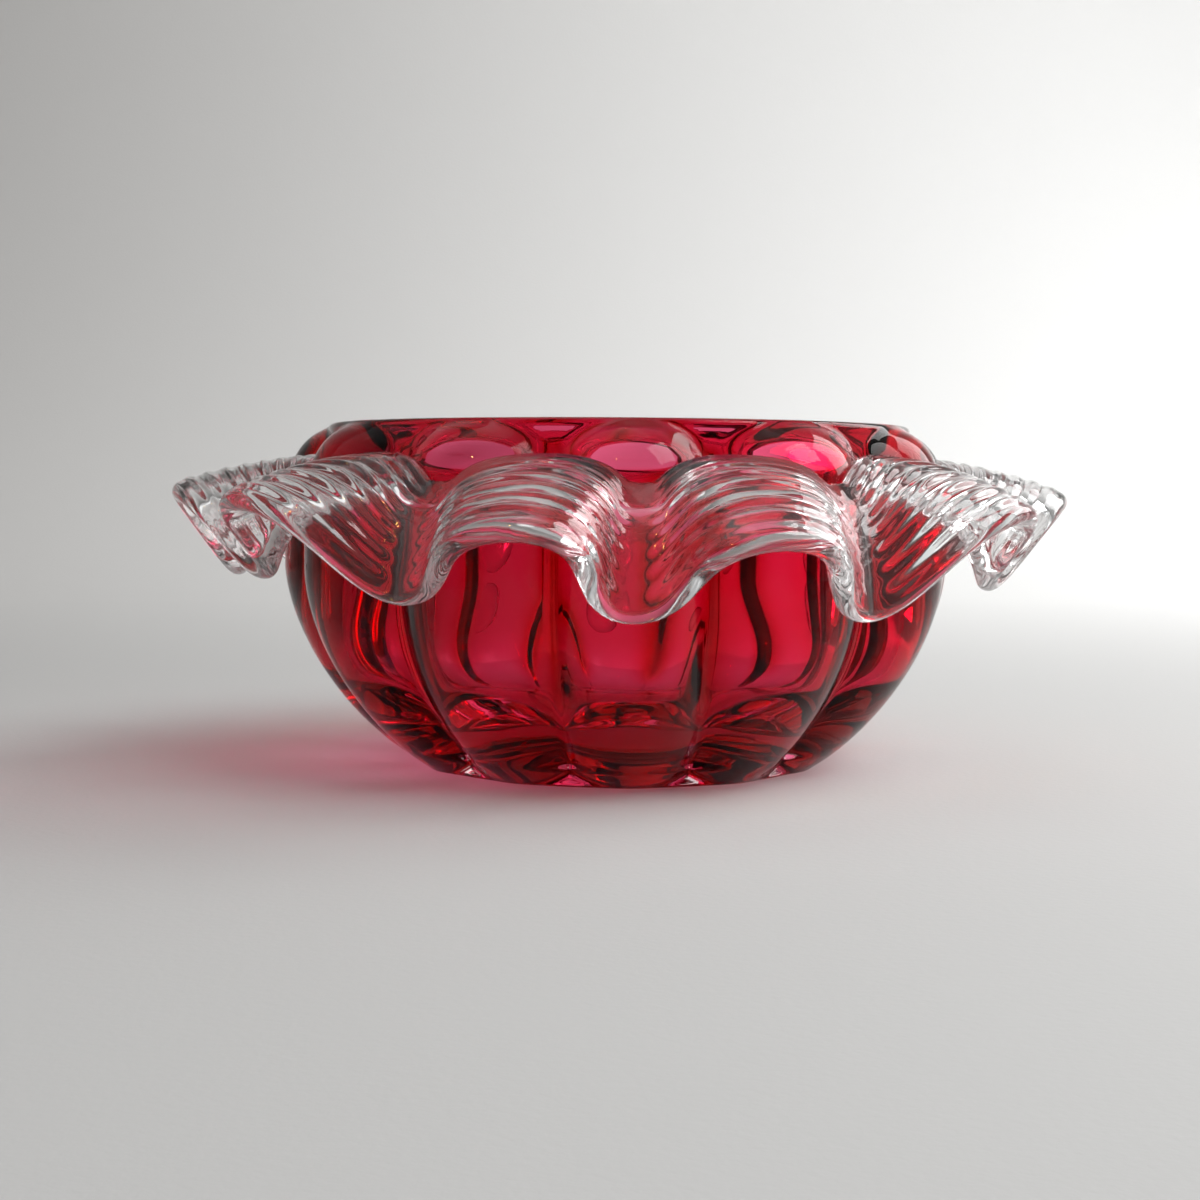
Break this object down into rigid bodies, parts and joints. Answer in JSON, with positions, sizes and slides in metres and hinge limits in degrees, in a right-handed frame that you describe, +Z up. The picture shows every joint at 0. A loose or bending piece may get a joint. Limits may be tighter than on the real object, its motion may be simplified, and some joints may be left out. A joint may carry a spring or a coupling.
{
  "type": "finger bowl",
  "caption": "Squat lobed finger bowl of cased ruby glass, with a thick clear outside and a clear frilled collar laid round the shoulder.",
  "frame": {"origin": "middle of the base, on the surface that the bowl stands on", "axes": "+Z up along the bowl's axis; -Y faces the middle of a lobe, at the front of the picture"},
  "size_m": [0.1436, 0.1436, 0.056],
  "materials": {
    "ruby_glass": "fire-polished",
    "clear_glass": "fire-polished",
    "frill_glass": "tooled and fire-polished"
  },
  "bodies": {
    "root": {"ruby_lining": "ruby_glass", "clear_casing": "clear_glass", "frill_collar": "frill_glass"}
  },
  "joints": []
}
